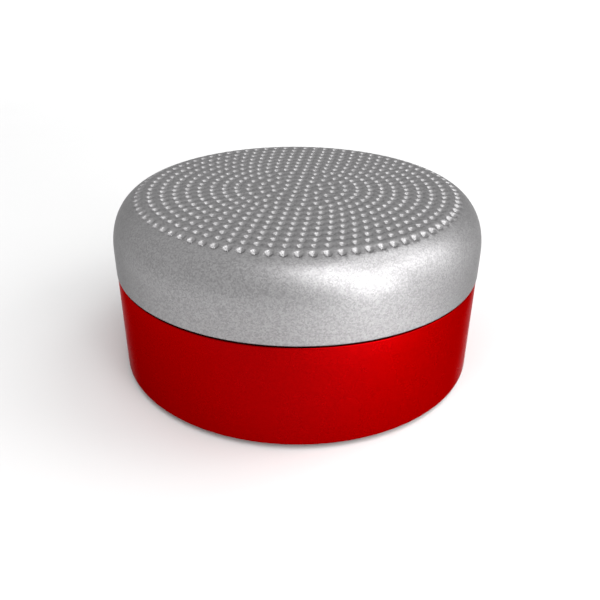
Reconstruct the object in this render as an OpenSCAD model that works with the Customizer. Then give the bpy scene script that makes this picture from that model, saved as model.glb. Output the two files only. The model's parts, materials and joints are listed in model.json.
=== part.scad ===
// Round pocket audio player: a silver perforated top shell on a red base,
// with a 45 mm loudspeaker driver, board, battery and rear controls inside.
// Millimetres. +Z is up, the origin is the centre of the face it rests on,
// and the rear controls face +Y.

/* [Body] */
// Outside diameter of the top shell
body_d = 60; // [58:1:80]
// Height of the two shells together, without the foot
body_h = 28.4; // [27.8:0.2:40]
// Height of the top shell, from its flat face to the seam
top_h = 11.7; // [11:0.1:13]
// Radial width of the rounded shoulder
shoulder_w = 6.4; // [5:0.2:7.6]
// Height of the rounded shoulder
shoulder_h = 7.8; // [6.5:0.2:9]
// How square the shoulder is (2 is an ellipse)
shoulder_power = 2.24; // [2:0.02:2.6]
// Wall of the top shell
top_wall = 1.2; // [0.9:0.1:1.5]
// Wall of the base shell
base_wall = 1.0; // [0.8:0.1:1.2]
// How far the base stands in from the top shell
base_step = 0.1; // [0:0.05:0.5]
// Radius of the base's lower edge
base_edge_r = 0.3; // [0.2:0.1:0.9]
// Height of the gap between the shells
seam_gap = 0.3; // [0.2:0.1:0.6]

/* [Grille] */
// Distance from one ring of holes to the next
ring_pitch = 1.97; // [1.8:0.01:3]
// Angle of each ring's first hole
ring_start = 22; // [0:1:60]
// Radius that the holes stay inside
grille_r = 26.6; // [18:0.2:27]
// Diameter of each sound hole
hole_d = 0.4; // [0.3:0.1:0.8]
// Thickness of the acoustic cloth
cloth_t = 0.3; // [0.2:0.1:0.5]

/* [Foot and bottom plate] */
// How far the foot stands below the base
foot_h = 0.9; // [0.3:0.1:2]
// Radial width of the foot ring
foot_w = 4.4; // [4:0.2:6]
// Depth of the groove that the foot sits in
foot_groove = 0.4; // [0.2:0.1:0.6]
// Width of the base's inward lip
lip_w = 3.2; // [2.8:0.1:3.6]
// Thickness of the base's inward lip
lip_h = 1; // [0.8:0.1:1.5]
// Thickness of the bottom plate's flange, under the lip
plate_flange_t = 1.2; // [1.2:0.1:2]

/* [Driver] */
// Outside diameter of the driver's flange
driver_d = 45; // [40:1:45]
// Thickness of the driver's flange
flange_t = 0.8; // [0.6:0.1:1.2]
// Height of the foam gasket over the driver
gasket_h = 2.2; // [2.1:0.1:3.5]
// Outer radius of the voice coil former
former_r = 8.4; // [7.6:0.1:8.8]
// Height of the coil winding
coil_h = 3.2; // [2.4:0.2:4]
// Radial gap on each side of the coil
coil_gap = 0.35; // [0.25:0.05:0.5]
// Travel of the cone each way from rest
cone_travel = 0.6; // [0.2:0.1:0.6]

/* [Board and battery] */
// Height of the board above the bottom plate
board_lift = 5; // [4.8:0.1:7]
// Thickness of the board
board_t = 1; // [0.8:0.1:1.6]
// Length of the cell
cell_l = 30; // [24:1:32]
// Width of the cell
cell_w = 24; // [18:1:25]
// Thickness of the cell
cell_t = 4.2; // [3:0.1:4.2]
// Thickness of the foam tape under the cell
tape_t = 0.3; // [0.2:0.1:0.5]

/* [Controls] */
// Width of each button cap
button_w = 4.6; // [4:0.1:5]
// Height of each button cap
button_h = 3; // [2.4:0.1:3.4]
// Travel of a button
button_travel = 0.4; // [0.2:0.1:0.5]
// Travel of the power slider
slider_travel = 2; // [1.5:0.1:2.2]
// Height of the rear control panel
panel_h = 6.4; // [5.6:0.1:7]
// How far the panel's face is set in from the base
panel_recess = 0.2; // [0.1:0.05:0.4]

/* [Fits] */
// Clearance round pieces that are glued or pressed together
glue_gap = 0.1; // [0.05:0.01:0.2]
// Clearance round pieces that move
slide_gap = 0.1; // [0.08:0.01:0.15]
// Radial clearance of a screw's thread in its pilot hole
thread_gap = 0.05; // [0.02:0.01:0.1]

/* [Hidden] */
$fn = 64;

// Radii of the shells and of what fits in them
body_r = body_d / 2;
flat_r = body_r - shoulder_w;
top_inner_r = body_r - top_wall;
base_r = body_r - base_step;
base_inner_r = base_r - base_wall;
lip_r = base_r - lip_w;

// Levels, from the resting face up
cloth_gap = 0.02;
lip_t = 0.3;
z_base = foot_h;
z_top = foot_h + body_h;
z_seam = z_top - top_h;
z_base_top = z_seam - seam_gap;
z_lip = z_base + plate_flange_t;
z_plate_top = z_lip + lip_h;
z_board = z_plate_top + board_lift;
z_board_top = z_board + board_t;
z_inner_top = z_top - top_wall;
z_flange_top = z_inner_top - cloth_t - cloth_gap - gasket_h - lip_t;
z_baffle = z_flange_top - flange_t;

// Baffle: a collar that joins the shells, a plate for the driver, and four columns
collar_r = min(top_inner_r, base_inner_r) - glue_gap;
collar_t = 1.5;
spigot_depth = 2;
baffle_t = 2;
collar_chamfer = 1.4;
driver_r = driver_d / 2;
throat_r = driver_r - 2.2;
column_r = 2.5;
column_sunk = 0.5;
column_pos = collar_r - collar_t - column_r + column_sunk;
column_angles = [8, 172, 240, 300];
foot_out_r = column_pos + foot_w / 2;
foot_edge = 0.2;

// Screws
screw_r = 0.95;
screw_head_r = 1.6;
screw_head_h = 0.7;
screw_hole_r = 1.15;
drive_w = 0.4;
drive_l = 1.8;
drive_depth = 0.4;
head_gap = 0.05;
case_screw_l = 7;
board_screw_l = 3.5;
driver_screw_l = 3.6;
driver_screw_head_r = 2.1;
driver_screw_pos = driver_r + 1.5;
driver_screw_angles = [45, 135, 225, 315];
standoff_r = 2;
standoffs = [[18.8, -5], [-18.8, -5], [0, -19.5], [0, 14.6]];

// Driver, measured down from its flange
basket_t = 0.8;
basket_r = throat_r - 0.2;
basket_skirt = 1;
window_w = 14;
rim_drop = 0.5;
roll_r = 1.5;
lip_out_r = driver_r - 0.8;
roll_out_r = lip_out_r - 1.3;
roll_mid_r = roll_out_r - roll_r;
roll_in_r = roll_mid_r - roll_r;
cone_edge_r = roll_in_r - 1;
cone_t = 0.3;
cone_curve = 1.2;
former_t = 0.2;
coil_t = 0.4;
cone_depth = 4.2;
z_rim = z_flange_top - rim_drop;
z_neck = z_flange_top - cone_depth - cone_t;
z_former_top = z_neck + 0.5;
z_ledge = z_neck - 1.6;
z_floor = z_ledge - 2.1;
yoke_wall = 1.2;
pole_t = 1.6;
pole_r = former_r - former_t - coil_gap;
yoke_in_r = former_r + coil_t + coil_gap;
yoke_out_r = yoke_in_r + yoke_wall;
magnet_r = pole_r - 0.35;
coil_room = 1.2;
magnet_h = coil_h / 2 - pole_t / 2 + cone_travel + coil_room;
z_pole = z_floor - pole_t;
z_magnet = z_pole - magnet_h;
z_yoke = z_magnet - yoke_wall;
z_coil = z_floor - pole_t / 2 - coil_h / 2;
ledge_in_r = yoke_out_r + 2.3;
ledge_out_r = ledge_in_r + 2.5;
spider_t = 0.25;
spider_wave = 0.28;
spider_waves = 2;
dust_cap_r = former_r + 1;
dust_cap_h = 2;
dust_cap_t = 0.25;
strip_t = 0.8;
strip_w = 7;
strip_out_r = ledge_out_r + 3.4;
z_strip = z_ledge - basket_t - strip_t;
lug_h = 0.3;

// Rear controls, each at its own angle round the body
panel_in_r = base_inner_r - 1;
panel_out_r = base_r - panel_recess;
panel_flange = 0.8;
panel_angles = [28.5, 151.5];
board_r = panel_in_r - 1.35;
usb = [8.94, 3.26];
usb_l = 7.3;
usb_wall = 0.3;
usb_angle = 76;
usb_front = panel_out_r - 0.8;
port_z = z_board_top + usb[1] / 2;
card_angle = 44;
card = [13.6, 14.4, 1.9];
card_wall = 0.2;
card_slot = [11.4, 1.1];
card_front = chord_x(panel_in_r, card[1] / 2) - 0.2;
card_slot_z = z_board_top + card[2] / 2;
led_angle = 91;
led = [1.6, 1.6, 0.7];
led_back = panel_in_r - 5.5;
pipe_r = 0.8;
pipe_gap = 0.05;
switch_angle = 103;
switch_size = [3.4, 6.6, 3.3];
switch_front = panel_in_r - 1.6;
knob_w = 1.6;
knob_proud = 0.7;
knob_root = 1.2;
button_angles = [118, 131.5, 145];
button_flange = 0.6;
button_flange_t = 0.5;
button_proud = 0.3;
button_front = base_r + button_proud;
button_shoulder = chord_x(panel_in_r, button_w / 2 + button_flange) - slide_gap;
button_back = button_shoulder - button_flange_t;
tact = [3.6, 4.6, 3.4];
tact_front = button_back - button_travel - 0.2;
plunger_r = 0.85;
plunger_l = 1.8;
bore_spare = 0.1;

// Leads inside the body: [across, along, up] points from one end to the other
lead_r = 0.4;
tinsel_r = 0.2;
lead_gap = 0.1;
lead_sides = 8;
tinsel_x = 1.5;
speaker_plug = [6.5, -17.5];
plug_size = [5, 4, 2.6];
battery_plug = [-7, -18.5];
battery_board_size = [20, 1.2, 3.2];
y_cell_end = -cell_w / 2;
z_cell = z_plate_top + tape_t;
y_pcm = y_cell_end - battery_board_size[1];
z_tinsel = cone_z(former_r + 4);
y_lug = -(strip_out_r - 1);
z_lug = z_strip + strip_t + lug_h;

silver = "silver";
red = "firebrick";
black = "dimgray";
copper = "peru";
gold = "goldenrod";

function chord_x(r, half) = sqrt(r * r - half * half);
function polar(r, a) = [r * cos(a), r * sin(a)];
function reverse(v) = [for (i = [len(v) - 1:-1:0]) v[i]];
function unit(v) = v / norm(v);

// The shoulder as a superellipse, from the flat down to the wall
function shoulder(z0, w, h, steps) = [
    for (i = [0:steps])
        let (a = 90 * i / steps, n = 2 / shoulder_power)
        [flat_r + w * pow(sin(a), n), z0 - h * (1 - pow(max(cos(a), 0), n))]
];
// Height of the top shell's inner face at radius r
function inner_z(r) =
    let (x = max(r - flat_r, 0) / (shoulder_w - top_wall), n = shoulder_power)
    z_inner_top - (shoulder_h - top_wall) * (1 - pow(1 - pow(min(x, 1), n), 1 / n));
// Height of the cone's underside at radius r
function cone_z(r) =
    z_neck + (z_rim - cone_t - z_neck) * pow((r - former_r) / (cone_edge_r - former_r), cone_curve);
// Rise of the spider's corrugations at radius r
function spider_z(r) =
    let (x = (r - former_r) / (ledge_in_r - basket_t - former_r))
    z_ledge + (x >= 1 ? 0 : spider_wave * sin(360 * spider_waves * x) + 0.15 * (1 - x));
function arc(c, r, a0, a1, steps) = [for (i = [0:steps]) c + polar(r, a0 + (a1 - a0) * i / steps)];

// Holes in each ring: six more than the ring inside it, and twelve more at the fifth ring
function ring_count(k) = k == 0 ? 1 : k < 5 ? 6 * k : 6 * (k + 1);
ring_total = floor((grille_r - hole_d / 2) / ring_pitch);
hole_points = [
    for (k = [0:ring_total], i = [0:ring_count(k) - 1])
        polar(k * ring_pitch, ring_start + 360 * i / ring_count(k))
];
// Radius, between two rings, where the flat grille meets the shoulder
grille_split = ring_pitch * (floor((flat_r - hole_d) / ring_pitch - 0.5) + 0.5);

// Smooth curve through hand-set points
function curve_at(p, i, t) =
    let (a = p[max(i - 1, 0)], b = p[i], c = p[i + 1], d = p[min(i + 2, len(p) - 1)])
    0.5 * (2 * b + (c - a) * t + (2 * a - 5 * b + 4 * c - d) * t * t
        + (3 * b - a - 3 * c + d) * t * t * t);
function curve(p, n) = concat(
    [for (i = [0:len(p) - 2], k = [0:n - 1]) curve_at(p, i, k / n)],
    [p[len(p) - 1]]
);

module ring(r_out, r_in, z, h) translate([0, 0, z]) difference() {
    cylinder(h = h, r = r_out);
    translate([0, 0, -1]) cylinder(h = h + 2, r = r_in);
}
module disc(r, z, h) translate([0, 0, z]) cylinder(h = h, r = r);
module at_angles(angles, pos) for (a = angles) rotate([0, 0, a]) translate([pos, 0, 0]) children();
module at_points(points) for (p = points) translate([p[0], p[1], 0]) children();
module block(x0, x1, w, z0, h) translate([x0, -w / 2, z0]) cube([x1 - x0, w, h]);
module centred_block(at, size, z) translate([at[0] - size[0] / 2, at[1] - size[1] / 2, z]) cube(size);
module stadium(w, h) {
    square([w - h, h], center = true);
    for (x = [-1, 1]) translate([x * (w - h) / 2, 0]) circle(h / 2);
}
module rounded(w, h, r) {
    square([w - 2 * r, h], center = true);
    square([w, h - 2 * r], center = true);
    for (x = [-1, 1], y = [-1, 1]) translate([x * (w / 2 - r), y * (h / 2 - r)]) circle(r);
}
// An outline (along the wall, up) pushed out from radius x0 to x1
module radial(x0, x1, z) translate([x0, 0, z]) rotate([90, 0, 90]) linear_extrude(x1 - x0) children();
module sector(r_out, r_in, z, h, a0, a1)
    rotate([0, 0, a0]) rotate_extrude(angle = a1 - a0) translate([r_in, z]) square([r_out - r_in, h]);
// A screw standing on its tip: shank down from z, head up from z
module screw(z, length, head_r, head_h) difference() {
    union() {
        disc(head_r, z, head_h);
        disc(screw_r, z - length, length + head_h / 2);
    }
    for (a = [0, 90]) rotate([0, 0, a]) translate([-drive_l / 2, -drive_w / 2, z + head_h - drive_depth])
        cube([drive_l, drive_w, drive_depth + 1]);
}
// A round lead along a path; across is a direction the path never runs along
module lead(path, r, across) {
    n = len(path);
    m = lead_sides;
    points = [
        for (i = [0:n - 1])
            let (t = unit(path[min(i + 1, n - 1)] - path[max(i - 1, 0)]))
            let (s = unit(cross(t, across)), u = cross(s, t))
            for (k = [0:m - 1]) path[i] + r * (cos(360 * k / m) * s + sin(360 * k / m) * u)
    ];
    sides = [
        for (i = [0:n - 2], k = [0:m - 1])
            let (a = i * m + k, b = i * m + (k + 1) % m)
            each [[a, a + m, b], [b, a + m, b + m]]
    ];
    caps = [[for (k = [0:m - 1]) k], [for (k = [m - 1:-1:0]) (n - 1) * m + k]];
    polyhedron(points, concat(sides, caps));
}

// Shells
module top_shell() color(silver) {
    translate([0, 0, z_inner_top]) linear_extrude(top_wall) difference() {
        circle(r = grille_split);
        for (p = hole_points) if (norm(p) < grille_split) translate(p) circle(d = hole_d);
    }
    difference() {
        rotate_extrude() polygon(concat(
            [[grille_split, z_top]],
            shoulder(z_top, shoulder_w, shoulder_h, 16),
            [[body_r, z_seam], [top_inner_r, z_seam]],
            reverse(shoulder(z_inner_top, shoulder_w - top_wall, shoulder_h - top_wall, 12)),
            [[grille_split, z_inner_top]]
        ));
        for (p = hole_points) if (norm(p) > grille_split)
            translate([p[0], p[1], z_baffle]) cylinder(h = z_top - z_baffle + 1, d = hole_d);
    }
}
module dust_cloth() color(black) {
    edge_r = grille_r + 0.3;
    slope = [for (i = [0:8]) let (r = flat_r + (edge_r - flat_r) * i / 8) [r, inner_z(r)]];
    under = concat([[0, z_inner_top]], slope);
    rotate_extrude() polygon(concat(
        [for (p = under) p - [0, cloth_gap]],
        [for (p = reverse(under)) p - [0, cloth_gap + cloth_t]]
    ));
}
module seam_ring() color(black) ring(base_r - 0.4, collar_r + glue_gap / 2, z_base_top, seam_gap);
module baffle() color(black) difference() {
    union() {
        rotate_extrude() polygon([
            [collar_r, z_base_top - spigot_depth],
            [collar_r, z_top - shoulder_h],
            [collar_r - collar_chamfer, z_baffle],
            [throat_r, z_baffle],
            [throat_r, z_baffle - baffle_t],
            [collar_r - collar_t - 1, z_baffle - baffle_t],
            [collar_r - collar_t, z_baffle - baffle_t - 1.4],
            [collar_r - collar_t, z_base_top - spigot_depth]
        ]);
        at_angles(column_angles, column_pos)
            disc(column_r, z_plate_top, z_baffle - baffle_t / 2 - z_plate_top);
    }
    at_angles(column_angles, column_pos) disc(screw_r + thread_gap, z_plate_top - 1, case_screw_l + 1);
    at_angles(driver_screw_angles, driver_screw_pos)
        disc(screw_r + thread_gap, z_baffle - baffle_t - 1, baffle_t + 2);
    notch_h = panel_h + 2 * (panel_flange + glue_gap);
    notch_angle = (panel_flange + glue_gap) / panel_in_r * 180 / PI;
    sector(collar_r + 1, panel_in_r - 1, port_z - notch_h / 2, notch_h,
        panel_angles[0] - notch_angle, panel_angles[1] + notch_angle);
}
module base_shell() color(red) difference() {
    rotate_extrude() polygon(concat(
        arc([base_r - base_edge_r, z_base + base_edge_r], base_edge_r, -90, 0, 6),
        [
            [base_r, z_base_top],
            [base_inner_r, z_base_top],
            [base_inner_r, z_plate_top],
            [lip_r, z_plate_top],
            [lip_r, z_lip],
            [base_inner_r, z_lip],
            [base_inner_r, z_base]
        ]
    ));
    gap_angle = glue_gap / base_r * 180 / PI;
    sector(base_r + 2, lip_r, port_z - panel_h / 2 - glue_gap, panel_h + 2 * glue_gap,
        panel_angles[0] - gap_angle, panel_angles[1] + gap_angle);
}
module bottom_plate() color(black) difference() {
    union() {
        rotate_extrude() polygon([
            [0, z_base],
            [base_inner_r - glue_gap, z_base],
            [base_inner_r - glue_gap, z_lip],
            [lip_r - glue_gap, z_lip],
            [lip_r - glue_gap, z_plate_top],
            [0, z_plate_top]
        ]);
        at_points(standoffs) disc(standoff_r, z_lip, z_board - z_lip);
    }
    ring(foot_out_r + glue_gap, foot_out_r - foot_w - glue_gap, z_base - 1, foot_groove + 1);
    at_angles(column_angles, column_pos) {
        disc(screw_head_r + glue_gap, z_base - 1, foot_groove + 1 + screw_head_h + head_gap);
        disc(screw_hole_r, z_base, z_plate_top);
    }
    at_points(standoffs) disc(screw_r + thread_gap, z_board_top - board_screw_l - 0.5, board_screw_l + 1);
}
module foot_ring() color(black) rotate_extrude() polygon([
    [foot_out_r - foot_w, z_base + foot_groove],
    [foot_out_r - foot_w, foot_edge],
    [foot_out_r - foot_w + foot_edge, 0],
    [foot_out_r - foot_edge, 0],
    [foot_out_r, foot_edge],
    [foot_out_r, z_base + foot_groove]
]);
module case_screws() color(silver) at_angles(column_angles, column_pos)
    translate([0, 0, z_base + foot_groove + head_gap + screw_head_h]) mirror([0, 0, 1])
        screw(0, case_screw_l, screw_head_r, screw_head_h);

// Driver
module driver_gasket() color(black) ring(lip_out_r, roll_out_r + 0.2, z_flange_top + lip_t, gasket_h);
module driver_screws() color(silver) at_angles(driver_screw_angles, driver_screw_pos)
    screw(z_flange_top, driver_screw_l, driver_screw_head_r, screw_head_h);
module driver_basket() color(black) difference() {
    rotate_extrude() polygon([
        [driver_r, z_flange_top],
        [driver_r, z_baffle],
        [basket_r, z_baffle],
        [basket_r, z_baffle - basket_skirt],
        [ledge_out_r + 0.35, z_ledge - basket_t],
        [ledge_in_r, z_ledge - basket_t],
        [ledge_in_r, z_floor - basket_t],
        [yoke_out_r + glue_gap / 2, z_floor - basket_t],
        [yoke_out_r + glue_gap / 2, z_floor],
        [ledge_in_r - basket_t, z_floor],
        [ledge_in_r - basket_t, z_ledge],
        [ledge_out_r, z_ledge],
        [basket_r - basket_t, z_baffle - basket_skirt + 0.3],
        [basket_r - basket_t, z_flange_top]
    ]);
    for (a = [0, 90, 180, 270]) rotate([0, 0, a])
        block(ledge_out_r - 1, basket_r + 1, window_w, z_ledge + 0.3,
            z_baffle - basket_skirt - z_ledge - 0.6);
}
module driver_yoke() color(silver) difference() {
    disc(yoke_out_r, z_yoke, z_floor - z_yoke);
    disc(yoke_in_r, z_magnet, z_floor);
}
module driver_magnet() color(black) disc(magnet_r, z_magnet, magnet_h);
module pole_plate() color(silver) disc(pole_r, z_pole, pole_t);
module surround() color(black) {
    c = [roll_mid_r, z_flange_top];
    rotate_extrude() polygon(concat(
        [[cone_edge_r, z_rim + lip_t], [roll_in_r, z_rim + lip_t]],
        arc(c, roll_r, 180, asin(lip_t / roll_r), 12),
        [[lip_out_r, z_flange_top + lip_t], [lip_out_r, z_flange_top]],
        arc(c, roll_r - lip_t, 0, 180, 12),
        [[roll_in_r + lip_t, z_rim], [cone_edge_r, z_rim]]
    ));
}
module spider() color(gold) {
    last = ledge_out_r - 0.2;
    reach = ledge_in_r - basket_t - former_r;
    waves = [for (i = [0:20]) let (r = former_r + reach * i / 20) [r, spider_z(r)]];
    under = concat(waves, [[last, z_ledge]]);
    rotate_extrude() polygon(concat(under, [for (p = reverse(under)) p + [0, spider_t]]));
}
module cone() color(black) {
    steps = 8;
    under = [for (i = [0:steps]) let (r = former_r + (cone_edge_r - former_r) * i / steps) [r, cone_z(r)]];
    rotate_extrude() polygon(concat(
        under,
        [[roll_in_r - 0.1, z_rim - cone_t], [roll_in_r - 0.1, z_rim], [cone_edge_r, z_rim]],
        [for (i = [steps - 1:-1:0]) under[i] + [0, cone_t]]
    ));
}
module dust_cap() color(black) {
    ball_r = (dust_cap_r * dust_cap_r + dust_cap_h * dust_cap_h) / (2 * dust_cap_h);
    z0 = cone_z(dust_cap_r) + cone_t;
    top = [for (i = [0:8]) let (r = dust_cap_r * i / 8) [r, z0 + dust_cap_h - ball_r + chord_x(ball_r, r)]];
    rotate_extrude() polygon(concat(top, [for (p = reverse(top)) p + [0, dust_cap_t]]));
}
module coil_former() color(gold) ring(former_r, former_r - former_t, z_coil, z_former_top - z_coil);
module voice_coil() color(copper) ring(former_r + coil_t, former_r, z_coil, coil_h);
module terminal_strip() color(gold) rotate([0, 0, 270]) {
    block(ledge_in_r + 0.5, strip_out_r, strip_w, z_strip, strip_t);
    for (y = [-1, 1]) translate([0, y * tinsel_x, 0])
        block(strip_out_r - 2, strip_out_r - 0.3, 1.2, z_strip + strip_t / 2, strip_t / 2 + lug_h);
}
module tinsel_leads() color(copper) for (x = [-1, 1] * tinsel_x)
    lead(curve([
        [x, -(former_r + 4), z_tinsel - tinsel_r],
        [x, -(former_r + 5.2), z_tinsel - 0.9],
        [x, -(ledge_out_r + 1.2), z_ledge + 1.6],
        [x, y_lug, z_lug + tinsel_r]
    ], 3), tinsel_r, [1, 0, 0]);
module speaker_leads() color(red) for (i = [0, 1])
    let (x = i == 0 ? 2.8 : -2.8, px = speaker_plug[0] + (i == 0 ? 1 : -1))
        lead(curve([
            [x, -(strip_out_r - 1), z_strip - lead_r * 0.6],
            [x + 0.6, -(strip_out_r + 0.6), z_strip - 1.8],
            [(x + px) / 2, -(strip_out_r + 1), (z_strip + z_board_top + plug_size[2]) / 2],
            [px, speaker_plug[1] - 0.6, z_board_top + plug_size[2] + 1.2],
            [px, speaker_plug[1], z_board_top + plug_size[2] + 0.7],
            [px, speaker_plug[1], z_board_top + plug_size[2] + lead_gap]
        ], 2), lead_r, [0.2, 1, 0]);
module speaker_connector() color("ivory") centred_block(speaker_plug, plug_size, z_board_top);

// Board and battery
module main_board() color("seagreen") translate([0, 0, z_board]) linear_extrude(board_t) difference() {
    circle(r = board_r);
    for (a = column_angles) translate(polar(column_pos, a)) circle(column_r + 0.3);
    for (a = column_angles) rotate(a) translate([column_pos, -column_r - 0.3])
        square([column_r * 2, (column_r + 0.3) * 2]);
    for (p = standoffs) translate(p) circle(screw_hole_r);
}
module board_screws() color(silver) at_points(standoffs)
    screw(z_board_top, board_screw_l, screw_head_r, screw_head_h);
module audio_processor() color(black) centred_block([0, 3], [7, 7, 0.9], z_board_top);
module amplifier_chip() color(black) centred_block([8, -9], [5, 5, 0.9], z_board_top);
module flash_memory() color(black) centred_block([-11, 3], [8, 6, 1], z_board_top);
module clock_crystal() color(silver) centred_block([0, 9.5], [3.2, 2.5, 0.8], z_board_top);
module filter_inductors() color(black) at_points([[14.5, -10], [14.5, -15]]) translate([0, 0, z_board_top])
    linear_extrude(1.8) rounded(4, 4, 0.8);
module buffer_capacitors() color(gold) at_points([[-14, -10], [-14, -13.5], [-10, -10], [-10, -13.5]])
    centred_block([0, 0], [3.2, 1.6, 1.5], z_board_top);
module battery_cell() color("silver") translate([0, 0, z_cell + cell_t / 2]) rotate([90, 0, 0])
    linear_extrude(cell_w, center = true) rounded(cell_l, cell_t, 1.2);
module battery_tape() color(black) centred_block([0, 0], [cell_l - 4, cell_w - 4, tape_t], z_plate_top);
module battery_board() color("seagreen")
    centred_block([0, y_cell_end - battery_board_size[1] / 2], battery_board_size, z_cell + 0.5);
module battery_leads() color(red) for (i = [0, 1])
    let (x = i == 0 ? 3 : 1, px = battery_plug[0] + (i == 0 ? -1 : 1), zs = z_cell + (i == 0 ? 1.2 : 2.6))
        lead(curve([
            [x, y_pcm - lead_gap, zs],
            [x - 0.3, y_pcm - 1, zs],
            [(x + px) / 2, y_pcm - 1.6, zs],
            [px + 0.3, battery_plug[1] + plug_size[1] / 2 + 1, z_board - plug_size[2] / 2],
            [px, battery_plug[1] + plug_size[1] / 2 + lead_gap, z_board - plug_size[2] / 2]
        ], 2), lead_r, [0, 0, 1]);
module battery_connector() color("ivory") centred_block(battery_plug, plug_size, z_board - plug_size[2]);

// Rear controls
module port_panel() color(black) difference() {
    flange_angle = panel_flange / panel_in_r * 180 / PI;
    z0 = port_z - panel_h / 2;
    union() {
        sector(panel_out_r, panel_in_r + 0.3, z0, panel_h, panel_angles[0], panel_angles[1]);
        sector(base_inner_r - glue_gap / 2, panel_in_r, z0 - panel_flange, panel_h + 2 * panel_flange,
            panel_angles[0] - flange_angle, panel_angles[1] + flange_angle);
    }
    rotate([0, 0, usb_angle]) radial(panel_in_r - 2, body_r + 1, port_z)
        stadium(usb[0] + 2 * glue_gap, usb[1] + 2 * glue_gap);
    rotate([0, 0, card_angle]) radial(panel_in_r - 3, body_r + 1, card_slot_z)
        square(card_slot, center = true);
    rotate([0, 0, led_angle]) radial(panel_in_r - 2, body_r + 1, port_z) circle(pipe_r + pipe_gap);
    rotate([0, 0, switch_angle]) radial(panel_in_r - 2, body_r + 1, port_z)
        square([knob_w + slider_travel + 2 * slide_gap, knob_w + 2 * slide_gap], center = true);
    for (a = button_angles) rotate([0, 0, a]) radial(panel_in_r - 2, body_r + 1, port_z)
        rounded(button_w + 2 * slide_gap, button_h + 2 * slide_gap, 0.6 + slide_gap);
}
module usb_shell() color(silver) rotate([0, 0, usb_angle]) difference() {
    radial(usb_front - usb_l, usb_front, port_z) stadium(usb[0], usb[1]);
    radial(usb_front - usb_l + usb_wall, usb_front + 1, port_z)
        stadium(usb[0] - 2 * usb_wall, usb[1] - 2 * usb_wall);
}
module usb_tongue() color(black) rotate([0, 0, usb_angle])
    block(usb_front - usb_l + usb_wall, usb_front - 0.7, 6.7, port_z - 0.35, 0.7);
module card_socket() color(silver) rotate([0, 0, card_angle]) difference() {
    block(card_front - card[0], card_front, card[1], z_board_top, card[2]);
    block(card_front - card[0] + card_wall, card_front + 1, card[1] - 2, z_board_top + card_wall,
        card[2] - 2 * card_wall);
}
module status_led() color("ivory") rotate([0, 0, led_angle])
    block(led_back, led_back + led[0], led[1], z_board_top, led[2]);
module light_pipe() color("lightblue") rotate([0, 0, led_angle]) {
    radial(led_back + 0.1, panel_out_r, port_z) circle(pipe_r);
    block(led_back + 0.1, led_back + led[0] - 0.1, led[1] - 0.2, z_board_top + led[2] + pipe_gap,
        port_z - z_board_top - led[2]);
}
module switch_body() color(silver) rotate([0, 0, switch_angle]) difference() {
    block(switch_front - switch_size[0], switch_front, switch_size[1], z_board_top, switch_size[2]);
    radial(switch_front - knob_root - 0.2, switch_front + 1, port_z)
        square([knob_w + slider_travel + 2 * slide_gap, knob_w + 2 * slide_gap], center = true);
}
module switch_knob() color(black) rotate([0, 0, switch_angle]) translate([0, -slider_travel / 2, 0])
    radial(switch_front - knob_root, panel_out_r + knob_proud, port_z) square(knob_w, center = true);
module tact_switches() color(silver) for (a = button_angles) rotate([0, 0, a]) difference() {
    block(tact_front - tact[0], tact_front, tact[1], z_board_top, tact[2]);
    radial(button_back - plunger_l - button_travel - bore_spare, tact_front + 1, port_z)
        circle(plunger_r + slide_gap);
}
module plunger(a) color(black) rotate([0, 0, a]) radial(button_back - plunger_l, button_back, port_z)
    circle(plunger_r);
module button(a) color(black) rotate([0, 0, a]) {
    radial(button_back + button_flange_t / 2, button_front, port_z) rounded(button_w, button_h, 0.6);
    radial(button_back, button_shoulder, port_z)
        rounded(button_w + 2 * button_flange, button_h + 2 * button_flange, 0.8);
}
module previous_plunger() plunger(button_angles[0]);
module play_plunger() plunger(button_angles[1]);
module next_plunger() plunger(button_angles[2]);
module previous_button() button(button_angles[0]);
module play_button() button(button_angles[1]);
module next_button() button(button_angles[2]);

top_shell();
dust_cloth();
seam_ring();
baffle();
base_shell();
bottom_plate();
foot_ring();
case_screws();
driver_gasket();
driver_screws();
driver_basket();
driver_yoke();
driver_magnet();
pole_plate();
surround();
spider();
cone();
dust_cap();
coil_former();
voice_coil();
terminal_strip();
tinsel_leads();
speaker_leads();
speaker_connector();
main_board();
board_screws();
audio_processor();
amplifier_chip();
flash_memory();
clock_crystal();
filter_inductors();
buffer_capacitors();
battery_cell();
battery_board();
battery_tape();
battery_leads();
battery_connector();
port_panel();
usb_shell();
usb_tongue();
card_socket();
status_led();
light_pipe();
switch_body();
switch_knob();
tact_switches();
previous_plunger();
play_plunger();
next_plunger();
previous_button();
play_button();
next_button();
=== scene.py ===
import json
import math

import bmesh
import bpy
from mathutils import Matrix, Vector
from mathutils.geometry import delaunay_2d_cdt

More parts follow.
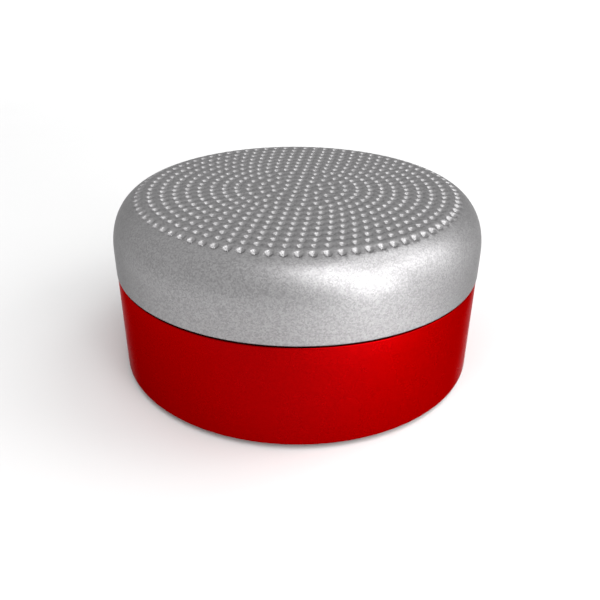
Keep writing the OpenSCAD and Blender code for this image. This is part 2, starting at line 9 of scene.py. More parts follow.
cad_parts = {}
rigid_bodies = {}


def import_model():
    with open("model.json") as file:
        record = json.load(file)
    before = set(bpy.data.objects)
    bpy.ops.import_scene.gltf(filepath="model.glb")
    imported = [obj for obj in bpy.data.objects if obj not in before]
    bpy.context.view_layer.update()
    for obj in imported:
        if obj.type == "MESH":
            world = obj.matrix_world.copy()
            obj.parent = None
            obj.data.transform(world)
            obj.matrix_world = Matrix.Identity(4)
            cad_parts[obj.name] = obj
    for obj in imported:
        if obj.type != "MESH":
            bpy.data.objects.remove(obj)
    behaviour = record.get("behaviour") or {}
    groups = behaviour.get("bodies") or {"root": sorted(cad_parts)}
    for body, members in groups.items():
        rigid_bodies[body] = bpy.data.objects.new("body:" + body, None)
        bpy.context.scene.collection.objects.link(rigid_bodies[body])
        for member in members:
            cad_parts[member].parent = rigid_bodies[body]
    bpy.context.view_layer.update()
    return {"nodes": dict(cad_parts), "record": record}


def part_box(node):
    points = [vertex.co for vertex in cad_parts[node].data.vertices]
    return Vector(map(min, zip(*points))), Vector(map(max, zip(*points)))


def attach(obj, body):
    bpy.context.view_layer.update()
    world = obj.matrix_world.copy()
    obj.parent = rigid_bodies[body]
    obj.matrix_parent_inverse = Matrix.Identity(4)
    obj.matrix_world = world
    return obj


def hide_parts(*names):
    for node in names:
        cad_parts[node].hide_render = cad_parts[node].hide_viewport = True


MM = 0.001

# ------------------------------------------------------------------ camera, made before anything else
SENSOR = 36.0
LENS = 40.29
CAMERA_PLACE = (0.51 * MM, -104.97 * MM, 64.74 * MM)
CAMERA_PITCH = 61.85
CAMERA_ROLL = 0.54
CAMERA_CLIP = (0.005, 20.0)


def make_camera():
    data = bpy.data.cameras.new("camera")
    data.sensor_width = SENSOR
    data.lens = LENS
    data.clip_start, data.clip_end = CAMERA_CLIP
    camera = bpy.data.objects.new("camera", data)
    bpy.context.scene.collection.objects.link(camera)
    turn = Matrix.Rotation(math.radians(CAMERA_PITCH), 4, "X")
    roll = Matrix.Rotation(math.radians(CAMERA_ROLL), 4, "Z")
    camera.matrix_world = Matrix.Translation(CAMERA_PLACE) @ turn @ roll
    bpy.context.scene.camera = camera


for old in list(bpy.data.objects):
    bpy.data.objects.remove(old)
make_camera()

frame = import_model()
NODES = frame["nodes"]

# ------------------------------------------------------------------ sizes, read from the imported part
shell_low, shell_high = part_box("top_shell")
base_low, base_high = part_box("base_shell")
panel_low, panel_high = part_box("port_panel")
foot_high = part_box("foot_ring")[1]
SHELL_R = shell_high[0]
TOP_Z = shell_high[2]
SEAM_Z = shell_low[2]
BASE_R = base_high[0]
BASE_Z = base_low[2]
BASE_TOP_Z = base_high[2]

# Sizes that a box cannot give
SHOULDER_W = 6.4 * MM
SHOULDER_H = 7.8 * MM
SHOULDER_POWER = 2.24
TOP_WALL = 1.2 * MM
BASE_WALL = 1.0 * MM
RING_PITCH = 1.97 * MM
RINGS = 13
DENSE_FROM = 5  # from this ring on, a ring has six dimples more than the rule of six a ring gives
RING_START = math.radians(22.0)
DIMPLE_R = 0.7 * MM
HOLE_R = 0.15 * MM
DIMPLE_DEPTH = 0.42 * MM
DIMPLE_SIDES = 12
FLAT_R = SHELL_R - SHOULDER_W
JOIN_R = FLAT_R + 3.2 * MM
JOIN_SIDES = 240
JOIN_MARGIN = 0.05 * MM
WELD = 0.004 * MM
FILL_RINGS = (11.5, 12.5, 13.4)  # helper points between the outer rings, in ring pitches
FILL_SIDES = 200
FILL_START = 0.01
HOLE_SHARE = 0.94  # a triangle whose middle is nearer than this share of the radius fills a hole
EDGE_R = 0.18 * MM
BASE_EDGE_R = 0.3 * MM
LIP_W = 3.2 * MM
FOOT_W = 4.4 * MM
PLATE_T = 1.2 * MM
LIP_H = 1.0 * MM
WINDOW = (28.5, 151.5)
WINDOW_GAP = 0.1 * MM
WINDOW_STEPS = 84
WALL_STEPS = 156
PANEL_FLANGE = 0.8 * MM


# ------------------------------------------------------------------ node trees
def socket_of(sockets, key):
    """A node's socket by its name, or by its number where names repeat."""
    if isinstance(key, int):
        return sockets[key]
    return next(s for s in sockets if s.name == key and s.enabled)


class Val:
    """One output socket that takes part in sums."""

    def __init__(self, tree, socket):
        self.tree = tree
        self.socket = socket

    def math(self, operation, *others, swapped=False):
        values = [self, *others]
        if swapped:
            values.reverse()
        return self.tree.add("ShaderNodeMath", {"operation": operation}, dict(enumerate(values)))

    def __add__(self, other):
        return self.math("ADD", other)

    def __sub__(self, other):
        return self.math("SUBTRACT", other)

    def __rsub__(self, other):
        return self.math("SUBTRACT", other, swapped=True)

    def __mul__(self, other):
        return self.math("MULTIPLY", other)

    def __truediv__(self, other):
        return self.math("DIVIDE", other)

    def __rtruediv__(self, other):
        return self.math("DIVIDE", other, swapped=True)

    def __pow__(self, other):
        return self.math("POWER", other)

    __radd__ = __add__
    __rmul__ = __mul__

    def above(self, limit):
        return self.math("GREATER_THAN", limit)

    def least(self, other):
        return self.math("MINIMUM", other)

    def most(self, other):
        return self.math("MAXIMUM", other)


class Tree:
    """A node tree, with one way to add a node."""

    def __init__(self, tree):
        self.tree = tree

    def new(self, kind, settings=None, inputs=None):
        node = self.tree.nodes.new(kind)
        for name, value in (settings or {}).items():
            setattr(node, name, value)
        for key, value in (inputs or {}).items():
            socket = socket_of(node.inputs, key)
            if isinstance(value, Val):
                self.tree.links.new(value.socket, socket)
            else:
                socket.default_value = value
        return node

    def add(self, kind, settings=None, inputs=None, out=0):
        node = self.new(kind, settings, inputs)
        return Val(self, socket_of(node.outputs, out))

    def out(self, node, key=0):
        return Val(self, socket_of(node.outputs, key))

    def link(self, value, node, key):
        self.tree.links.new(value.socket, socket_of(node.inputs, key))


class Paint(Tree):
    """A material under construction: its tree, its Principled shader and its coordinates."""

    def __init__(self, name, colour, **values):
        self.material = bpy.data.materials.new(name)
        self.material.use_nodes = True
        super().__init__(self.material.node_tree)
        self.tree.nodes.clear()
        self.shader = self.new("ShaderNodeBsdfPrincipled")
        output = self.new("ShaderNodeOutputMaterial")
        self.tree.links.new(self.shader.outputs[0], output.inputs["Surface"])
        self.place = self.add("ShaderNodeTexCoord", out="Object")
        self.set("Base Color", (*colour, 1.0))
        for key, value in values.items():
            self.set(key.replace("_", " ").title().replace("Ior", "IOR"), value)

    def set(self, key, value):
        if isinstance(value, Val):
            self.link(value, self.shader, key)
        else:
            socket_of(self.shader.inputs, key).default_value = value

    def noise(self, scale, detail=2.0, rough=0.5, place=None):
        inputs = {"Vector": place or self.place, "Scale": scale, "Detail": detail, "Roughness": rough}
        return self.add("ShaderNodeTexNoise", None, inputs)

    def cells(self, scale):
        """A random colour for each of many small cells."""
        return self.add("ShaderNodeTexVoronoi", None, {"Vector": self.place, "Scale": scale}, out="Color")

    def stretch(self, factors):
        return self.add("ShaderNodeMapping", None, {"Vector": self.place, "Scale": factors})

    def blend(self, factor, low, high):
        node = self.new("ShaderNodeMix", {"data_type": "RGBA"})
        for index, value in ((0, factor), (6, low), (7, high)):
            socket = node.inputs[index]
            if isinstance(value, Val):
                self.tree.links.new(value.socket, socket)
            else:
                socket.default_value = value if index == 0 else (*value, 1.0)
        return Val(self, node.outputs[2])

    def spread(self, value, low, high, to_low=0.0, to_high=1.0):
        inputs = {"Value": value, 1: low, 2: high, 3: to_low, 4: to_high}
        return self.add("ShaderNodeMapRange", None, inputs)

    def bump(self, height, distance, strength):
        inputs = {"Height": height, "Distance": distance, "Strength": strength}
        return self.add("ShaderNodeBump", None, inputs)


# ------------------------------------------------------------------ finishes
def silver_paint():
    """Satin silver lacquer with fine metal flakes in it."""
    p = Paint("silver lacquer", (0.35, 0.345, 0.35), metallic=1.0, roughness=0.4)
    p.set("Specular Tint", (0.45, 0.45, 0.45, 1.0))
    flake = p.cells(5200.0)
    tint = p.add("ShaderNodeSeparateColor", None, {"Color": flake}, out="Red")
    cloud = p.noise(2600.0, 3.0, 0.6)
    light = p.spread(tint * 0.6 + cloud * 0.4, 0.2, 0.8)
    p.set("Base Color", p.blend(light, (0.285, 0.28, 0.284), (0.405, 0.4, 0.405)))
    p.set("Roughness", p.spread(cloud, 0.3, 0.7, 0.36, 0.46))
    p.set("Normal", p.bump(tint + p.noise(4000.0) * 0.5, 0.006 * MM, 0.6))
    return p.material


def red_anodised():
    """Deep red over bright metal, with a very light orange peel."""
    p = Paint("red lacquer", (0.33, 0.0005, 0.001), metallic=1.0, roughness=0.28)
    p.set("Specular Tint", (0.7, 0.12, 0.13, 1.0))
    fleck = p.noise(3000.0, 3.0, 0.7)
    p.set("Base Color", p.blend(p.spread(fleck, 0.3, 0.7), (0.3, 0.0004, 0.001), (0.36, 0.0006, 0.0012)))
    p.set("Roughness", p.spread(p.noise(300.0), 0.3, 0.7, 0.25, 0.31))
    p.set("Normal", p.bump(p.noise(700.0, 2.0), 0.002 * MM, 0.4))
    return p.material


def moulded(name, colour, roughness, grain=0.012, scale=2600.0):
    """Moulded plastic or rubber with a spark-eroded grain."""
    p = Paint(name, colour, roughness=roughness)
    cloud = p.noise(scale, 3.0, 0.6)
    low = tuple(c * 0.82 for c in colour)
    high = tuple(min(1.0, c * 1.15 + 0.003) for c in colour)
    p.set("Base Color", p.blend(p.spread(cloud, 0.3, 0.7), low, high))
    p.set("Roughness", p.spread(p.noise(scale / 4), 0.3, 0.7, roughness - 0.05, roughness + 0.06))
    p.set("Normal", p.bump(cloud, grain * MM, 0.7))
    return p.material


def plated(name, colour, roughness, scale=900.0):
    """Bare or plated metal with faint rolling streaks."""
    p = Paint(name, colour, metallic=1.0, roughness=roughness)
    streak = p.noise(1.0, 3.0, 0.6, p.stretch((scale, scale, scale * 12)))
    low = tuple(c * 0.88 for c in colour)
    p.set("Base Color", p.blend(p.spread(streak, 0.3, 0.7), low, colour))
    p.set("Roughness", p.spread(streak, 0.3, 0.7, roughness - 0.06, roughness + 0.08))
    p.set("Normal", p.bump(streak, 0.004 * MM, 0.5))
    return p.material


def woven(name, colour, pitch):
    """Plain woven cloth: two sets of threads crossing at right angles."""
    p = Paint(name, colour, roughness=0.9)
    step = 2 * math.pi / pitch
    parts = p.new("ShaderNodeSeparateXYZ", None, {"Vector": p.place})
    wave_x = (p.out(parts, "X") * step).math("SINE")
    wave_y = (p.out(parts, "Y") * step).math("SINE")
    thread = p.spread(wave_x * wave_y, -1.0, 1.0)
    low = tuple(c * 0.5 for c in colour)
    p.set("Base Color", p.blend(thread, low, colour))
    p.set("Normal", p.bump(thread, 0.03 * MM, 0.8))
    return p.material


def circuit(name):
    """Green solder mask with copper tracks showing through it."""
    p = Paint(name, (0.02, 0.18, 0.07), roughness=0.3)
    parts = p.new("ShaderNodeSeparateXYZ", None, {"Vector": p.place})
    lane = (p.out(parts, "X") * 1300.0 + p.noise(150.0) * 2.0).math("SINE")
    gate = p.noise(120.0, 1.0)
    track = lane.above(0.55) * gate.above(0.48)
    p.set("Base Color", p.blend(track, (0.015, 0.14, 0.055), (0.05, 0.3, 0.1)))
    p.set("Roughness", p.spread(p.noise(2000.0), 0.3, 0.7, 0.24, 0.36))
    p.set("Normal", p.bump(track, 0.02 * MM, 0.6))
    return p.material


def clear_guide():
    """Clear moulded light guide."""
    p = Paint("clear guide", (0.9, 0.94, 0.97), roughness=0.12, ior=1.49)
    p.set("Transmission Weight", 0.6)
    p.set("Roughness", p.spread(p.noise(1500.0), 0.3, 0.7, 0.1, 0.2))
    p.set("Normal", p.bump(p.noise(900.0), 0.005 * MM, 0.4))
    return p.material


FINISHES = {
    "silver_paint": silver_paint(),
    "red_anodised": red_anodised(),
    "cloth": woven("acoustic cloth", (0.03, 0.03, 0.032), 0.24 * MM),
    "black_plastic": moulded("black moulding", (0.02, 0.02, 0.022), 0.5),
    "gloss_black": moulded("smooth black moulding", (0.018, 0.018, 0.02), 0.3, 0.004),
    "black_rubber": moulded("black rubber", (0.022, 0.022, 0.022), 0.72, 0.02, 1800.0),
    "foam": moulded("closed foam", (0.05, 0.05, 0.052), 0.9, 0.06, 3500.0),
    "zinc_steel": plated("zinc plated steel", (0.62, 0.62, 0.63), 0.32),
    "black_steel": moulded("black coated steel", (0.03, 0.03, 0.032), 0.42, 0.008),
    "magnet": plated("nickel plated magnet", (0.6, 0.58, 0.54), 0.25),
    "paper_cone": moulded("pressed paper", (0.035, 0.034, 0.036), 0.85, 0.05, 1200.0),
    "spider_cloth": woven("dipped spider cloth", (0.5, 0.3, 0.09), 0.5 * MM),
    "polyimide": moulded("amber film", (0.5, 0.22, 0.04), 0.3, 0.003),
    "copper": plated("enamelled copper", (0.7, 0.3, 0.12), 0.3, 4000.0),
    "fibre_board": moulded("phenolic board", (0.3, 0.17, 0.07), 0.6, 0.02, 1500.0),
    "lead_cover": moulded("red lead cover", (0.45, 0.015, 0.015), 0.5, 0.006),
    "circuit_board": circuit("solder mask"),
    "ivory_plastic": moulded("ivory nylon", (0.75, 0.71, 0.6), 0.45, 0.006),
    "chip_epoxy": moulded("chip moulding", (0.025, 0.025, 0.027), 0.6, 0.012, 4000.0),
    "tin_can": plated("tinned steel", (0.68, 0.67, 0.63), 0.28),
    "ferrite": moulded("ferrite", (0.09, 0.09, 0.1), 0.6, 0.02),
    "tantalum": moulded("tantalum moulding", (0.7, 0.42, 0.06), 0.45, 0.006),
    "cell_pouch": plated("pouch foil", (0.66, 0.67, 0.69), 0.35, 300.0),
    "clear_plastic": clear_guide(),
}
SLOT_OF = {s["node"]: s["material_slot"] for s in frame["record"]["subparts"]}
for node_name, node_object in NODES.items():
    node_object.data.materials.clear()
    node_object.data.materials.append(FINISHES[SLOT_OF[node_name]])


# ------------------------------------------------------------------ mesh helpers
def on_circle(r, sides, start=0.0):
    steps = [start + 2 * math.pi * i / sides for i in range(sides)]
    return [(r * math.cos(a), r * math.sin(a)) for a in steps]


def dimple_centres():
    centres = [(0.0, 0.0)]
    for k in range(1, RINGS + 1):
        count = 6 * k if k < DENSE_FROM else 6 * (k + 1)
        centres += on_circle(k * RING_PITCH, count, RING_START)
    return centres


def finished(name, mesh, body, material, replaces=(), smooth=True):
    """Links a mesh as a finished piece of one body."""
    for face in mesh.polygons:
        face.use_smooth = smooth
    mesh.materials.clear()
    mesh.materials.append(FINISHES[material])
    piece = bpy.data.objects.new(name, mesh)
    bpy.context.scene.collection.objects.link(piece)
    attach(piece, body)
    if replaces:
        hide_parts(*replaces)
    return piece


def mesh_from(name, bm):
    mesh = bpy.data.meshes.new(name)
    bm.to_mesh(mesh)
    bm.free()
    return mesh


def sharpen(piece, degrees):
    """Edges sharper than this angle are shaded as edges."""
    mesh = piece.data
    bm = bmesh.new()
    bm.from_mesh(mesh)
    limit = math.radians(degrees)
    for edge in bm.edges:
        edge.smooth = len(edge.link_faces) == 2 and edge.calc_face_angle(0.0) < limit
    bm.to_mesh(mesh)
    bm.free()


def closed_piece(name, bm, body, material, replaces=(), crease=None):
    """Finishes a closed skin, with edges above the crease angle kept sharp, or all of it flat."""
    bmesh.ops.recalc_face_normals(bm, faces=bm.faces)
    smooth = crease is not None
    piece = finished(name, mesh_from(name, bm), body, material, replaces, smooth)
    if smooth:
        sharpen(piece, crease)


def turned(bm, profile, sides, closed=True):
    """Adds a surface turned about Z to bm. The profile's points are (radius, height)."""
    rings = []
    for r, z in profile:
        if r < 1e-9:
            rings.append([bm.verts.new((0, 0, z))] * sides)
        else:
            rings.append([bm.verts.new((x, y, z)) for x, y in on_circle(r, sides)])
    count = len(rings) if closed else len(rings) - 1
    for i in range(count):
        a, b = rings[i], rings[(i + 1) % len(rings)]
        for k in range(sides):
            m = (k + 1) % sides
            corners = list(dict.fromkeys((a[k], b[k], b[m], a[m])))
            if len(corners) > 2:
                bm.faces.new(corners)


def arc_points(centre, r, start, end, steps):
    angles = [math.radians(start + (end - start) * i / steps) for i in range(steps + 1)]
    return [(centre[0] + r * math.cos(a), centre[1] + r * math.sin(a)) for a in angles]


# ------------------------------------------------------------------ silver top shell
def perforated_sheet(level, hole_r, facing):
    """A flat sheet out to the join radius, with a round hole at every dimple."""
    points = []
    edges = []

    def add_loop(loop):
        first = len(points)
        points.extend(Vector(p) for p in loop)
        count = len(loop)
        edges.extend((first + i, first + (i + 1) % count) for i in range(count))

    add_loop(on_circle(JOIN_R, JOIN_SIDES))
    centres = dimple_centres()
    for cx, cy in centres:
        add_loop([(cx + x, cy + y) for x, y in on_circle(hole_r, DIMPLE_SIDES)])
    for ring in FILL_RINGS:
        points.extend(Vector(p) for p in on_circle(ring * RING_PITCH, FILL_SIDES, FILL_START))
    found = delaunay_2d_cdt(points, edges, [], 1, 1e-9)
    verts, faces = found[0], found[2]
    spots = {}
    for cx, cy in centres:
        spots.setdefault((round(cx / RING_PITCH), round(cy / RING_PITCH)), []).append((cx, cy))

    def inside_hole(x, y):
        gx, gy = round(x / RING_PITCH), round(y / RING_PITCH)
        near = [c for i in (-1, 0, 1) for j in (-1, 0, 1) for c in spots.get((gx + i, gy + j), [])]
        return any(math.hypot(x - cx, y - cy) < hole_r * HOLE_SHARE for cx, cy in near)

    kept = []
    for face in faces:
        x = sum(verts[i][0] for i in face) / 3
        y = sum(verts[i][1] for i in face) / 3
        if not inside_hole(x, y):
            kept.append(face if facing > 0 else face[::-1])
    return [(v[0], v[1], level) for v in verts], kept


def shoulder_profile(top, width, height, steps):
    """The shoulder from the join radius down to the wall."""
    start = math.asin(((JOIN_R - FLAT_R) / width) ** (SHOULDER_POWER / 2))
    points = []
    for i in range(steps + 1):
        a = start + (math.pi / 2 - start) * i / steps
        power = 2 / SHOULDER_POWER
        r = FLAT_R + width * math.sin(a) ** power
        z = top - height * (1 - max(math.cos(a), 0.0) ** power)
        points.append((r, z))
    points[0] = (JOIN_R, top)
    return points


def dimple_cup():
    """One pressed dimple with its sound hole, from the outer skin to the inner one."""
    bm = bmesh.new()
    profile = [
        (DIMPLE_R, 0.0),
        (DIMPLE_R * 0.92, -DIMPLE_DEPTH * 0.1),
        (DIMPLE_R * 0.79, -DIMPLE_DEPTH * 0.34),
        (DIMPLE_R * 0.55, -DIMPLE_DEPTH * 0.7),
        (HOLE_R * 1.2, -DIMPLE_DEPTH * 0.95),
        (HOLE_R, -DIMPLE_DEPTH),
        (HOLE_R, -TOP_WALL),
    ]
    turned(bm, profile, DIMPLE_SIDES, closed=False)
    bmesh.ops.reverse_faces(bm, faces=bm.faces)
    return mesh_from("dimple cup", bm)


def dimple_tree():
    """Sets a cup at every place of the ring pattern, joins it to the skins and lowers the shoulder."""
    group = bpy.data.node_groups.new("ring pattern", "GeometryNodeTree")
    face = group.interface
    face.new_socket("Skins", in_out="INPUT", socket_type="NodeSocketGeometry")
    face.new_socket("Cup", in_out="INPUT", socket_type="NodeSocketObject")
    for name in ("Ring pitch", "First angle", "Flat radius", "Shoulder width", "Shoulder height",
                 "Squareness", "Wall", "Join radius"):
        face.new_socket(name, in_out="INPUT", socket_type="NodeSocketFloat")
    face.new_socket("Rings", in_out="INPUT", socket_type="NodeSocketInt")
    face.new_socket("Finish", in_out="INPUT", socket_type="NodeSocketMaterial")
    face.new_socket("Shell", in_out="OUTPUT", socket_type="NodeSocketGeometry")
    t = Tree(group)
    given = t.new("NodeGroupInput")

    def take(name):
        return t.out(given, name)

    begin = t.new("GeometryNodeRepeatInput")
    end = t.new("GeometryNodeRepeatOutput")
    begin.pair_with_output(end)
    t.link(take("Rings"), begin, "Iterations")
    centre = t.add("GeometryNodePoints", None, {"Count": 1})
    centre = t.add("GeometryNodePointsToVertices", None, {"Points": centre})
    t.link(centre, begin, "Geometry")
    ring = t.out(begin, "Iteration") + 1
    count = (ring + ring.above(DENSE_FROM - 0.5)) * 6
    circle = t.add("GeometryNodeMeshCircle", None, {"Vertices": count, "Radius": ring * take("Ring pitch")})
    joined = t.new("GeometryNodeJoinGeometry")
    t.link(t.out(begin, "Geometry"), joined, "Geometry")
    t.link(circle, joined, "Geometry")
    t.link(t.out(joined), end, "Geometry")
    angle = t.add("ShaderNodeCombineXYZ", None, {"Z": take("First angle")})
    spots = t.add("GeometryNodeTransform", None, {"Geometry": t.out(end, "Geometry"), "Rotation": angle})
    cup = t.add("GeometryNodeObjectInfo", None, {"Object": take("Cup")}, out="Geometry")
    cups = t.add("GeometryNodeInstanceOnPoints", None, {"Points": spots, "Instance": cup})
    cups = t.add("GeometryNodeRealizeInstances", None, {"Geometry": cups})
    whole = t.new("GeometryNodeJoinGeometry")
    t.link(take("Skins"), whole, "Geometry")
    t.link(cups, whole, "Geometry")
    place = t.add("GeometryNodeInputPosition")
    parts = t.new("ShaderNodeSeparateXYZ", None, {"Vector": place})
    x, y, z = (t.out(parts, k) for k in ("X", "Y", "Z"))
    radius = (x * x + y * y).math("SQRT")
    inner = z.math("LESS_THAN", take("Wall") * -0.75)
    less = inner * take("Wall")
    width = take("Shoulder width") - less
    height = take("Shoulder height") - less
    reach = ((radius - take("Flat radius")) / width).most(0.0).least(1.0)
    power = take("Squareness")
    drop = height * (1 - (1 - reach ** power) ** (1 / power))
    on_sheet = radius.math("LESS_THAN", take("Join radius") + JOIN_MARGIN)
    offset = t.add("ShaderNodeCombineXYZ", None, {"Z": drop * on_sheet * -1.0})
    moved = t.add("GeometryNodeSetPosition", None, {"Geometry": t.out(whole), "Offset": offset})
    merged = t.add("GeometryNodeMergeByDistance", None, {"Geometry": moved, "Distance": WELD})
    realized = t.add("GeometryNodeRealizeInstances", None, {"Geometry": merged})
    painted = t.add("GeometryNodeSetMaterial", None, {"Geometry": realized, "Material": take("Finish")})
    output = t.new("NodeGroupOutput")
    t.link(painted, output, "Shell")
    return group


def through_tree(piece, group, values):
    """Runs a geometry tree on a piece and gives back the result as a plain mesh."""
    modifier = piece.modifiers.new("pattern", "NODES")
    modifier.node_group = group
    for item in group.interface.items_tree:
        if item.item_type == "SOCKET" and item.in_out == "INPUT" and item.name in values:
            modifier[item.identifier] = values[item.name]
    bpy.context.view_layer.update()
    graph = bpy.context.evaluated_depsgraph_get()
    made = bpy.data.meshes.new_from_object(piece.evaluated_get(graph))
    piece.modifiers.remove(modifier)
    bpy.data.objects.remove(piece)
    return made


def make_top_shell():
    verts, faces = perforated_sheet(0.0, DIMPLE_R, 1)
    inner_verts, inner_faces = perforated_sheet(-TOP_WALL, HOLE_R, -1)
    shift = len(verts)
    verts += inner_verts
    faces += [[i + shift for i in f] for f in inner_faces]
    mesh = bpy.data.meshes.new("top shell skins")
    mesh.from_pydata(verts, [], faces)
    bm = bmesh.new()
    bm.from_mesh(mesh)
    seam = SEAM_Z - TOP_Z
    outer = shoulder_profile(0.0, SHOULDER_W, SHOULDER_H, 28)
    inner = shoulder_profile(-TOP_WALL, SHOULDER_W - TOP_WALL, SHOULDER_H - TOP_WALL, 16)
    inner_r = SHELL_R - TOP_WALL
    profile = outer + [(SHELL_R, seam * 0.85), (SHELL_R, seam + EDGE_R * 2)]
    profile += arc_points((SHELL_R - EDGE_R, seam + EDGE_R), EDGE_R, 0, -90, 4)
    profile += [(inner_r + EDGE_R, seam), (inner_r, seam + EDGE_R)]
    profile += inner[::-1]
    turned(bm, profile, JOIN_SIDES, closed=False)
    bm.to_mesh(mesh)
    bm.free()
    holder = bpy.data.objects.new("skins", mesh)
    cup = bpy.data.objects.new("cup", dimple_cup())
    for piece in (holder, cup):
        bpy.context.scene.collection.objects.link(piece)
    values = {
        "Cup": cup,
        "Ring pitch": RING_PITCH,
        "First angle": RING_START,
        "Rings": RINGS,
        "Flat radius": FLAT_R,
        "Shoulder width": SHOULDER_W,
        "Shoulder height": SHOULDER_H,
        "Squareness": SHOULDER_POWER,
        "Wall": TOP_WALL,
        "Join radius": JOIN_R,
        "Finish": FINISHES["silver_paint"],
    }
    made = through_tree(holder, dimple_tree(), values)
    bpy.data.objects.remove(cup)
    made.transform(Matrix.Translation((0, 0, TOP_Z)))
    bm = bmesh.new()
    bm.from_mesh(made)
    bmesh.ops.recalc_face_normals(bm, faces=bm.faces)
    bm.to_mesh(made)
    bm.free()
    made.name = "top_shell_lacquered"
    piece = finished("top_shell_lacquered", made, "housing", "silver_paint", ["top_shell"])
    sharpen(piece, 50)


# ------------------------------------------------------------------ red base shell
def make_base_shell():
    """A turned wall with the window for the control panel left out of it."""
    gap = math.degrees(WINDOW_GAP / BASE_R)
    low_angle, high_angle = WINDOW[0] - gap, WINDOW[1] + gap
    low_z = panel_low[2] + PANEL_FLANGE - WINDOW_GAP
    high_z = panel_high[2] - PANEL_FLANGE + WINDOW_GAP
    inner_r = BASE_R - BASE_WALL
    lip_r = BASE_R - LIP_W
    lip_z = BASE_Z + PLATE_T
    outer = arc_points((BASE_R - BASE_EDGE_R, BASE_Z + BASE_EDGE_R), BASE_EDGE_R, -90, 0, 6)
    outer += [(BASE_R, low_z), (BASE_R, high_z), (BASE_R, BASE_TOP_Z - EDGE_R)]
    outer += arc_points((BASE_R - EDGE_R, BASE_TOP_Z - EDGE_R), EDGE_R, 0, 90, 4)[1:]
    inner = [(inner_r, BASE_TOP_Z), (inner_r, high_z), (inner_r, low_z), (inner_r, lip_z + LIP_H)]
    inner += [(lip_r, lip_z + LIP_H), (lip_r, lip_z), (inner_r, lip_z), (inner_r, BASE_Z)]
    profile = outer + inner
    span = high_angle - low_angle
    angles = [low_angle + span * i / WINDOW_STEPS for i in range(WINDOW_STEPS + 1)]
    angles += [high_angle + (360 - span) * i / WALL_STEPS for i in range(1, WALL_STEPS)]
    bm = bmesh.new()
    columns = []
    for a in angles:
        c, s = math.cos(math.radians(a)), math.sin(math.radians(a))
        columns.append([bm.verts.new((r * c, r * s, z)) for r, z in profile])
    out_low, out_high = profile.index((BASE_R, low_z)), profile.index((BASE_R, high_z))
    in_high, in_low = profile.index((inner_r, high_z)), profile.index((inner_r, low_z))
    count, rows = len(columns), len(profile)
    for i in range(count):
        a, b = columns[i], columns[(i + 1) % count]
        in_window = i < WINDOW_STEPS
        for k in range(rows):
            m = (k + 1) % rows
            if in_window and k in (out_low, in_high):
                continue
            bm.faces.new((a[k], b[k], b[m], a[m]))
        if in_window:
            bm.faces.new((a[out_low], b[out_low], b[in_low], a[in_low]))
            bm.faces.new((a[out_high], a[in_high], b[in_high], b[out_high]))
    for column in (columns[0], columns[WINDOW_STEPS]):
        bm.faces.new((column[out_low], column[out_high], column[in_high], column[in_low]))
    closed_piece("base_shell_turned", bm, "housing", "red_anodised", ["base_shell"], 35)


make_top_shell()
make_base_shell()


# ------------------------------------------------------------------ rear controls and foot
PANEL_OUT_R = BASE_R - 0.2 * MM
PANEL_IN_R = BASE_R - BASE_WALL - 1.0 * MM
FLANGE_R = BASE_R - BASE_WALL - 0.05 * MM
PORT_Z = (panel_low[2] + panel_high[2]) / 2
PANEL_HALF = (panel_high[2] - panel_low[2]) / 2 - PANEL_FLANGE
OPENING_EDGE = 0.12 * MM
CARD_ANGLE, USB_ANGLE, LED_ANGLE, SWITCH_ANGLE = 44.0, 76.0, 91.0, 103.0
CARD_SLOT_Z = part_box("card_socket")[0][2] + 0.95 * MM
CARD_W, CARD_H = 11.4 * MM, 1.1 * MM
USB_W, USB_H = 9.14 * MM, 3.46 * MM
LED_D = 1.7 * MM
SLOT_CORNER = 0.15 * MM
ROUND_END = 0.001 * MM  # what a fully rounded end keeps straight, so that no two points meet
KEYS = {"previous": 118.0, "play": 131.5, "next": 145.0}
KEY_W, KEY_H, KEY_CORNER = 4.6 * MM, 3.0 * MM, 0.6 * MM
KEY_GAP = 0.1 * MM
KEY_FRONT = BASE_R + 0.3 * MM
KEY_SHOULDER = math.sqrt(PANEL_IN_R ** 2 - (KEY_W / 2 + 0.6 * MM) ** 2) - KEY_GAP
KEY_BACK = KEY_SHOULDER - 0.5 * MM
KEY_FLANGE = 0.6 * MM
KEY_EDGE = 0.32 * MM
KEY_CROWN = 0.08 * MM
MARK_PROUD = 0.05 * MM
KNOB_W = 1.6 * MM
KNOB_TRAVEL = 2.0 * MM
KNOB_FRONT = PANEL_OUT_R + 0.7 * MM
KNOB_BACK = PANEL_IN_R - 2.8 * MM
KNOB_RIB_H = 0.3 * MM
KNOB_EDGE = 0.05 * MM
FOOT_EDGE = 0.2 * MM


def rounded_outline(w, h, r, steps=5):
    """A rounded rectangle as (sideways, up) points, anticlockwise."""
    points = []
    for k, (sx, sy) in enumerate(((1, 1), (-1, 1), (-1, -1), (1, -1))):
        centre = (sx * (w / 2 - r), sy * (h / 2 - r))
        points += arc_points(centre, r, 90 * k, 90 * (k + 1), steps)
    return points


def outward(angle, r, t, z):
    """The point at distance r along the ray at angle, moved t along the wall."""
    c, s = math.cos(math.radians(angle)), math.sin(math.radians(angle))
    return (r * c - t * s, r * s + t * c, z)


def bridge(bm, a, b):
    """Joins two rings of equal length with a band of faces."""
    for k in range(len(a)):
        m = (k + 1) % len(a)
        bm.faces.new((a[k], a[m], b[m], b[k]))


def loft(bm, rings):
    """Joins rings of equal length into a skin, with a flat face at each end."""
    made = [[bm.verts.new(p) for p in ring] for ring in rings]
    for a, b in zip(made, made[1:]):
        bridge(bm, a, b)
    bm.faces.new(made[0][::-1])
    bm.faces.new(made[-1])


